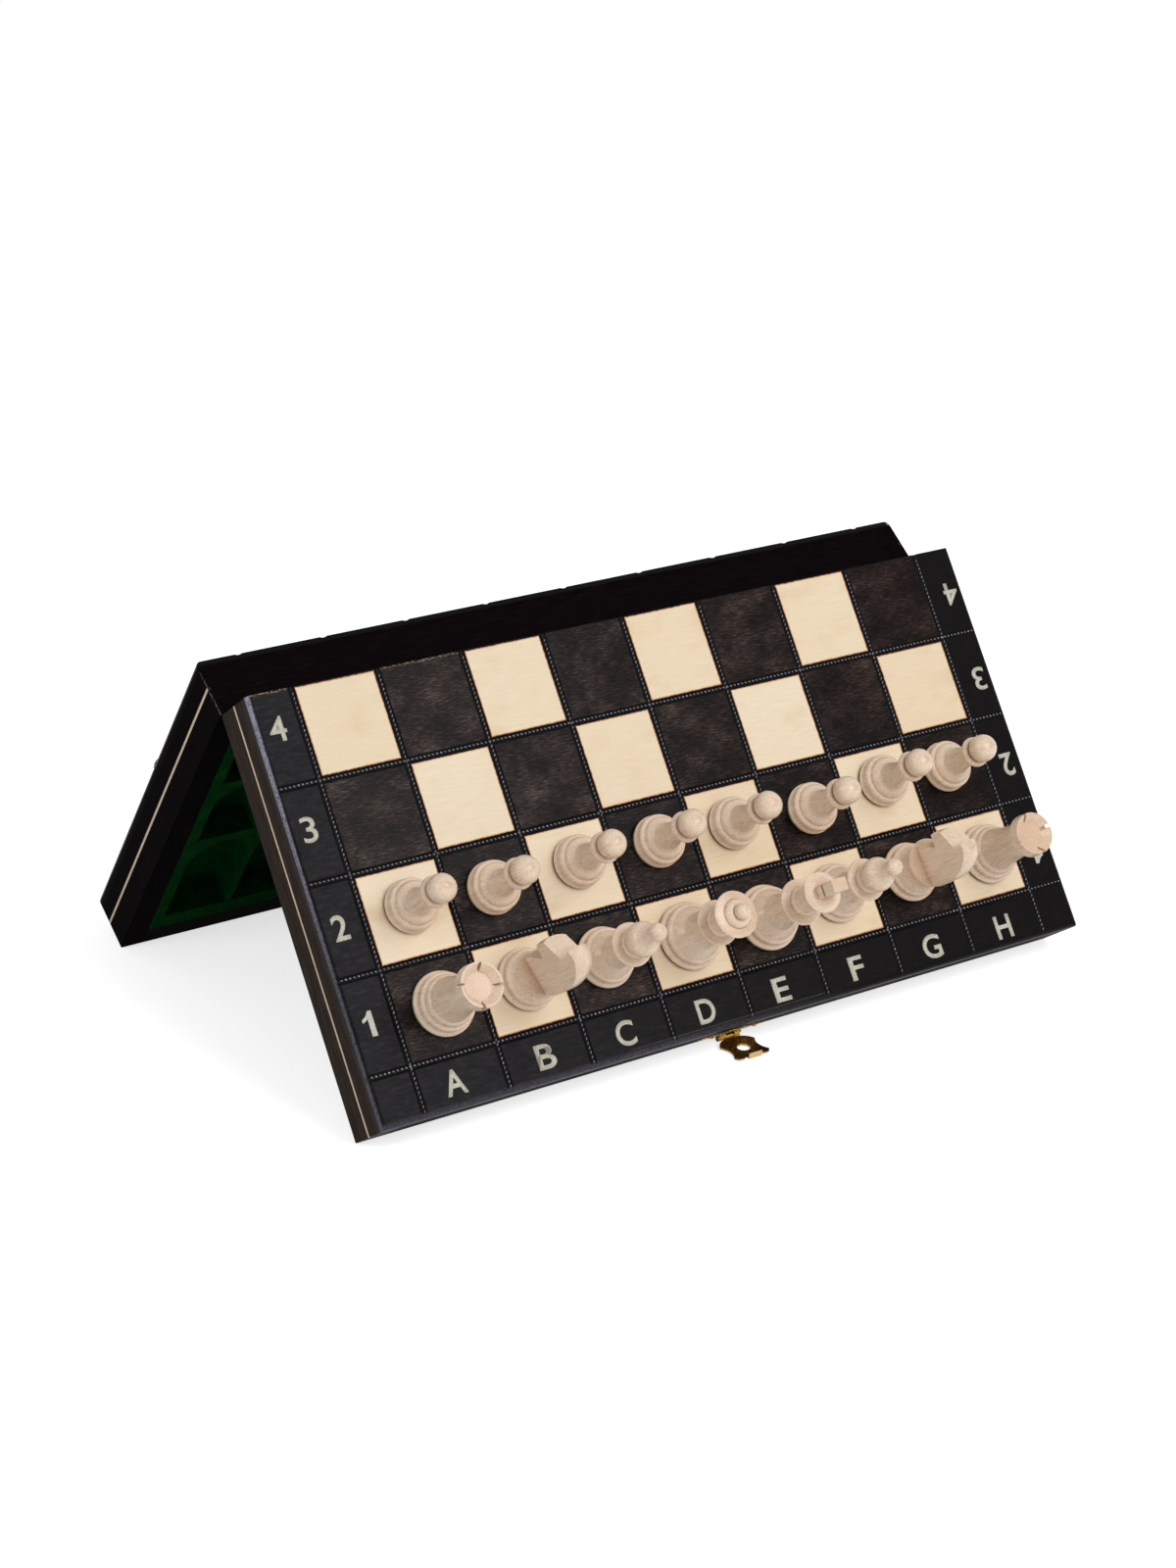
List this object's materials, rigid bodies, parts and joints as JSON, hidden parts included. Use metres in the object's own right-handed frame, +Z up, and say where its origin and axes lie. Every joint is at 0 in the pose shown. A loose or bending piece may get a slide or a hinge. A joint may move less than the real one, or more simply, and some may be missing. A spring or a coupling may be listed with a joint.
{
  "type": "magnetic folding chessboard",
  "caption": "Hinged wooden chess case standing open like a tent, playing squares outside with magnetic turned figures, lined storage cells inside, brass latch.",
  "frame": {"origin": "on the table, straight below the hinge line, in the middle of the board's length", "axes": "+X along the hinge line from the a file to the h file, +Z up, -Y towards the half with the pale figures"},
  "size_m": [0.279, 0.2402, 0.1264],
  "materials": {
    "playing_face": "stained and varnished veneer, pale squares left bare, rolled grooves",
    "frame_wood": "dark stained, satin",
    "inlay": "pale line, satin",
    "steel": "plain sheet",
    "flocking": "green flock on a formed tray",
    "hinge_brass": "plain brass",
    "screw_steel": "brass plated",
    "latch_brass": "antiqued brass",
    "pale_wood": "turned, thin matt varnish",
    "dark_wood": "turned, dark stained"
  },
  "bodies": {
    "near_half": {"near_playing_panel": "playing_face", "near_steel_sheet": "steel", "near_front_rail": "frame_wood", "near_spine_rail": "frame_wood", "near_left_rail": "frame_wood", "near_right_rail": "frame_wood", "near_inlay_lines": "inlay", "near_tray": "flocking", "hinge_near_leaves": "hinge_brass", "hinge_near_screws": "screw_steel", "hinge_pins": "hinge_brass", "latch_plate": "latch_brass", "latch_pin": "latch_brass", "latch_nails": "latch_brass"},
    "rear_half": {"rear_playing_panel": "playing_face", "rear_steel_sheet": "steel", "rear_front_rail": "frame_wood", "rear_spine_rail": "frame_wood", "rear_left_rail": "frame_wood", "rear_right_rail": "frame_wood", "rear_inlay_lines": "inlay", "rear_tray": "flocking", "hinge_rear_leaves": "hinge_brass", "hinge_rear_screws": "screw_steel", "catch_plate": "latch_brass", "catch_nails": "latch_brass"},
    "latch_flap": {"latch_flap": "latch_brass"},
    "white_pawn_a": {"white_pawn_a": "pale_wood"},
    "white_pawn_b": {"white_pawn_b": "pale_wood"},
    "white_pawn_c": {"white_pawn_c": "pale_wood"},
    "white_pawn_d": {"white_pawn_d": "pale_wood"},
    "white_pawn_e": {"white_pawn_e": "pale_wood"},
    "white_pawn_f": {"white_pawn_f": "pale_wood"},
    "white_pawn_g": {"white_pawn_g": "pale_wood"},
    "white_pawn_h": {"white_pawn_h": "pale_wood"},
    "white_rook_a": {"white_rook_a": "pale_wood"},
    "white_knight_b": {"white_knight_b": "pale_wood"},
    "white_bishop_c": {"white_bishop_c": "pale_wood"},
    "white_queen": {"white_queen": "pale_wood"},
    "white_king": {"white_king": "pale_wood"},
    "white_bishop_f": {"white_bishop_f": "pale_wood"},
    "white_knight_g": {"white_knight_g": "pale_wood"},
    "white_rook_h": {"white_rook_h": "pale_wood"},
    "black_pawn_a": {"black_pawn_a": "dark_wood"},
    "black_pawn_b": {"black_pawn_b": "dark_wood"},
    "black_pawn_c": {"black_pawn_c": "dark_wood"},
    "black_pawn_d": {"black_pawn_d": "dark_wood"},
    "black_pawn_e": {"black_pawn_e": "dark_wood"},
    "black_pawn_f": {"black_pawn_f": "dark_wood"},
    "black_pawn_g": {"black_pawn_g": "dark_wood"},
    "black_pawn_h": {"black_pawn_h": "dark_wood"},
    "black_rook_a": {"black_rook_a": "dark_wood"},
    "black_knight_b": {"black_knight_b": "dark_wood"},
    "black_bishop_c": {"black_bishop_c": "dark_wood"},
    "black_queen": {"black_queen": "dark_wood"},
    "black_king": {"black_king": "dark_wood"},
    "black_bishop_f": {"black_bishop_f": "dark_wood"},
    "black_knight_g": {"black_knight_g": "dark_wood"},
    "black_rook_h": {"black_rook_h": "dark_wood"}
  },
  "joints": [
    {"name": "fold", "type": "hinge", "parent": "near_half", "child": "rear_half", "pos_m": [0, 0, 0.11422], "axis": [1, 0, 0], "range_deg": [-71, 109]},
    {"name": "latch_turn", "type": "hinge", "parent": "near_half", "child": "latch_flap", "pos_m": [-0.0007, -0.08553, 0.00111], "axis": [-1, 0, 0], "range_deg": [-141.8, 33]},
    {"name": "lift_white_pawn_a", "type": "slide", "parent": "near_half", "child": "white_pawn_a", "axis": [0, -0.8141, 0.5807], "range_m": [0, 0.03]},
    {"name": "lift_white_pawn_b", "type": "slide", "parent": "near_half", "child": "white_pawn_b", "axis": [0, -0.8141, 0.5807], "range_m": [0, 0.03]},
    {"name": "lift_white_pawn_c", "type": "slide", "parent": "near_half", "child": "white_pawn_c", "axis": [0, -0.8141, 0.5807], "range_m": [0, 0.03]},
    {"name": "lift_white_pawn_d", "type": "slide", "parent": "near_half", "child": "white_pawn_d", "axis": [0, -0.8141, 0.5807], "range_m": [0, 0.03]},
    {"name": "lift_white_pawn_e", "type": "slide", "parent": "near_half", "child": "white_pawn_e", "axis": [0, -0.8141, 0.5807], "range_m": [0, 0.03]},
    {"name": "lift_white_pawn_f", "type": "slide", "parent": "near_half", "child": "white_pawn_f", "axis": [0, -0.8141, 0.5807], "range_m": [0, 0.03]},
    {"name": "lift_white_pawn_g", "type": "slide", "parent": "near_half", "child": "white_pawn_g", "axis": [0, -0.8141, 0.5807], "range_m": [0, 0.03]},
    {"name": "lift_white_pawn_h", "type": "slide", "parent": "near_half", "child": "white_pawn_h", "axis": [0, -0.8141, 0.5807], "range_m": [0, 0.03]},
    {"name": "lift_white_rook_a", "type": "slide", "parent": "near_half", "child": "white_rook_a", "axis": [0, -0.8141, 0.5807], "range_m": [0, 0.03]},
    {"name": "lift_white_knight_b", "type": "slide", "parent": "near_half", "child": "white_knight_b", "axis": [0, -0.8141, 0.5807], "range_m": [0, 0.03]},
    {"name": "lift_white_bishop_c", "type": "slide", "parent": "near_half", "child": "white_bishop_c", "axis": [0, -0.8141, 0.5807], "range_m": [0, 0.03]},
    {"name": "lift_white_queen", "type": "slide", "parent": "near_half", "child": "white_queen", "axis": [0, -0.8141, 0.5807], "range_m": [0, 0.03]},
    {"name": "lift_white_king", "type": "slide", "parent": "near_half", "child": "white_king", "axis": [0, -0.8141, 0.5807], "range_m": [0, 0.03]},
    {"name": "lift_white_bishop_f", "type": "slide", "parent": "near_half", "child": "white_bishop_f", "axis": [0, -0.8141, 0.5807], "range_m": [0, 0.03]},
    {"name": "lift_white_knight_g", "type": "slide", "parent": "near_half", "child": "white_knight_g", "axis": [0, -0.8141, 0.5807], "range_m": [0, 0.03]},
    {"name": "lift_white_rook_h", "type": "slide", "parent": "near_half", "child": "white_rook_h", "axis": [0, -0.8141, 0.5807], "range_m": [0, 0.03]},
    {"name": "lift_black_pawn_a", "type": "slide", "parent": "rear_half", "child": "black_pawn_a", "axis": [0, 0.8141, 0.5807], "range_m": [0, 0.03]},
    {"name": "lift_black_pawn_b", "type": "slide", "parent": "rear_half", "child": "black_pawn_b", "axis": [0, 0.8141, 0.5807], "range_m": [0, 0.03]},
    {"name": "lift_black_pawn_c", "type": "slide", "parent": "rear_half", "child": "black_pawn_c", "axis": [0, 0.8141, 0.5807], "range_m": [0, 0.03]},
    {"name": "lift_black_pawn_d", "type": "slide", "parent": "rear_half", "child": "black_pawn_d", "axis": [0, 0.8141, 0.5807], "range_m": [0, 0.03]},
    {"name": "lift_black_pawn_e", "type": "slide", "parent": "rear_half", "child": "black_pawn_e", "axis": [0, 0.8141, 0.5807], "range_m": [0, 0.03]},
    {"name": "lift_black_pawn_f", "type": "slide", "parent": "rear_half", "child": "black_pawn_f", "axis": [0, 0.8141, 0.5807], "range_m": [0, 0.03]},
    {"name": "lift_black_pawn_g", "type": "slide", "parent": "rear_half", "child": "black_pawn_g", "axis": [0, 0.8141, 0.5807], "range_m": [0, 0.03]},
    {"name": "lift_black_pawn_h", "type": "slide", "parent": "rear_half", "child": "black_pawn_h", "axis": [0, 0.8141, 0.5807], "range_m": [0, 0.03]},
    {"name": "lift_black_rook_a", "type": "slide", "parent": "rear_half", "child": "black_rook_a", "axis": [0, 0.8141, 0.5807], "range_m": [0, 0.03]},
    {"name": "lift_black_knight_b", "type": "slide", "parent": "rear_half", "child": "black_knight_b", "axis": [0, 0.8141, 0.5807], "range_m": [0, 0.03]},
    {"name": "lift_black_bishop_c", "type": "slide", "parent": "rear_half", "child": "black_bishop_c", "axis": [0, 0.8141, 0.5807], "range_m": [0, 0.03]},
    {"name": "lift_black_queen", "type": "slide", "parent": "rear_half", "child": "black_queen", "axis": [0, 0.8141, 0.5807], "range_m": [0, 0.03]},
    {"name": "lift_black_king", "type": "slide", "parent": "rear_half", "child": "black_king", "axis": [0, 0.8141, 0.5807], "range_m": [0, 0.03]},
    {"name": "lift_black_bishop_f", "type": "slide", "parent": "rear_half", "child": "black_bishop_f", "axis": [0, 0.8141, 0.5807], "range_m": [0, 0.03]},
    {"name": "lift_black_knight_g", "type": "slide", "parent": "rear_half", "child": "black_knight_g", "axis": [0, 0.8141, 0.5807], "range_m": [0, 0.03]},
    {"name": "lift_black_rook_h", "type": "slide", "parent": "rear_half", "child": "black_rook_h", "axis": [0, 0.8141, 0.5807], "range_m": [0, 0.03]}
  ]
}
